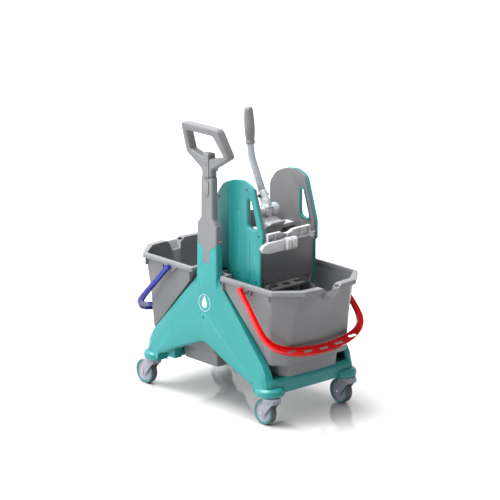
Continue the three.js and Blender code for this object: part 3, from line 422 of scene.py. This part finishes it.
def print_on_panel(name, outer, inner=None):
    """A flat white print, a hair proud of the leaning side panel, from outlines of (x, z) in mm."""
    form = bmesh.new()

    def ring(outline, proud):
        points = []
        for x, z in outline:
            face = PANEL_FACE_Y - PANEL_LEAN * (PANEL_SHOULDER_Z - z)
            points.append(form.verts.new(Vector((x, face + proud, z)) * MM))
        return points

    def wall(first, second):
        for k in range(len(first)):
            after = (k + 1) % len(first)
            form.faces.new((first[k], second[k], second[after], first[after]))

    outer_front = ring(outer, -PRINT_PROUD)
    outer_back = ring(outer, 0.1)
    wall(outer_front, outer_back)
    if inner:
        inner_front = ring(inner, -PRINT_PROUD)
        inner_back = ring(inner, 0.1)
        wall(inner_front, inner_back)
        wall(outer_front, inner_front)
        wall(outer_back, inner_back)
    else:
        form.faces.new(outer_front)
        form.faces.new(list(reversed(outer_back)))
    bmesh.ops.recalc_face_normals(form, faces=form.faces)
    mesh = bpy.data.meshes.new(name)
    form.to_mesh(mesh)
    form.free()
    finish_piece(name, mesh, None, MATERIALS["white_plastic"], "chassis")


def round_outline(x, z, radius, steps=72):
    turns = [2 * math.pi * k / steps for k in range(steps)]
    return [(x + radius * math.cos(t), z + radius * math.sin(t)) for t in turns]


def drop_outline(x, z, width, height, steps=64):
    turns = [2 * math.pi * (k + 0.5) / steps for k in range(steps)]
    return [
        (x + width * 0.65 * math.sin(t) * math.sin(t / 2) ** 1.5, z + height / 2 * math.cos(t))
        for t in turns
    ]


def drop_mark():
    """A plain water drop in a thin ring, printed where such trolleys carry their mark."""
    print_on_panel("mark_drop", drop_outline(-7, 341, 26, 40))
    print_on_panel("mark_ring", round_outline(-7, 337, 27), round_outline(-7, 337, 25.6))


drop_mark()

# ------------------------------------------------------------------ stage

FLOOR_HALF = 30


def studio_dome(ambient, lobes):
    """A dim dome with soft bright areas.

    Each area is a direction, the cosines at which it starts and peaks, and a strength.
    """
    world = bpy.data.worlds.new("studio")
    bpy.context.scene.world = world
    world.use_nodes = True
    tree = world.node_tree
    background = tree.nodes["Background"]
    background.inputs["Color"].default_value = (1, 1, 1, 1)
    where = tree.nodes.new("ShaderNodeTexCoord")
    total = None
    for toward, start, end, strength in lobes:
        dot = tree.nodes.new("ShaderNodeVectorMath")
        dot.operation = "DOT_PRODUCT"
        dot.inputs[1].default_value = Vector(toward).normalized()
        tree.links.new(where.outputs["Generated"], dot.inputs[0])
        fall = tree.nodes.new("ShaderNodeMapRange")
        fall.interpolation_type = "SMOOTHSTEP"
        fall.inputs["From Min"].default_value = start
        fall.inputs["From Max"].default_value = end
        fall.inputs["To Min"].default_value = 0
        fall.inputs["To Max"].default_value = strength
        tree.links.new(dot.outputs["Value"], fall.inputs["Value"])
        add = tree.nodes.new("ShaderNodeMath")
        add.operation = "ADD"
        tree.links.new(fall.outputs["Result"], add.inputs[0])
        if total:
            tree.links.new(total, add.inputs[1])
        else:
            add.inputs[1].default_value = ambient
        total = add.outputs["Value"]
    tree.links.new(total, background.inputs["Strength"])


def studio():
    floor_mesh = bpy.data.meshes.new("floor")
    half = FLOOR_HALF
    floor_mesh.from_pydata(
        [(-half, -half, 0), (half, -half, 0), (half, half, 0), (-half, half, 0)], [], [(0, 1, 2, 3)],
    )
    floor = bpy.data.objects.new("floor", floor_mesh)
    bpy.context.scene.collection.objects.link(floor)
    n = Nodes("floor")
    n.shader.inputs["Base Color"].default_value = (0.50, 0.50, 0.50, 1)
    n.link(n.remap(n.noise(3, 2), 0.035, 0.06), n.shader.inputs["Roughness"])
    n.shader.inputs["Specular IOR Level"].default_value = 0.5
    floor_mesh.materials.append(n.material)
    studio_dome(0.10, (
        ((-0.10, -0.10, 1.00), 0.62, 1.0, 1.90),
        ((-0.34, -0.66, 0.68), 0.45, 1.0, 3.25),
        ((-0.66, 0.72, 0.22), 0.45, 0.95, 1.0),
        ((0, 0, 1), 0.24, 0.06, 0.92),
    ))

    sun = bpy.data.lights.new("key", "SUN")
    sun.energy = 4.9
    sun.angle = math.radians(36)
    key = bpy.data.objects.new("key", sun)
    bpy.context.scene.collection.objects.link(key)
    key.rotation_euler = Vector((0.22, 0.17, -0.96)).to_track_quat("-Z", "Y").to_euler()


studio()
bpy.context.scene.view_settings.view_transform = "Standard"
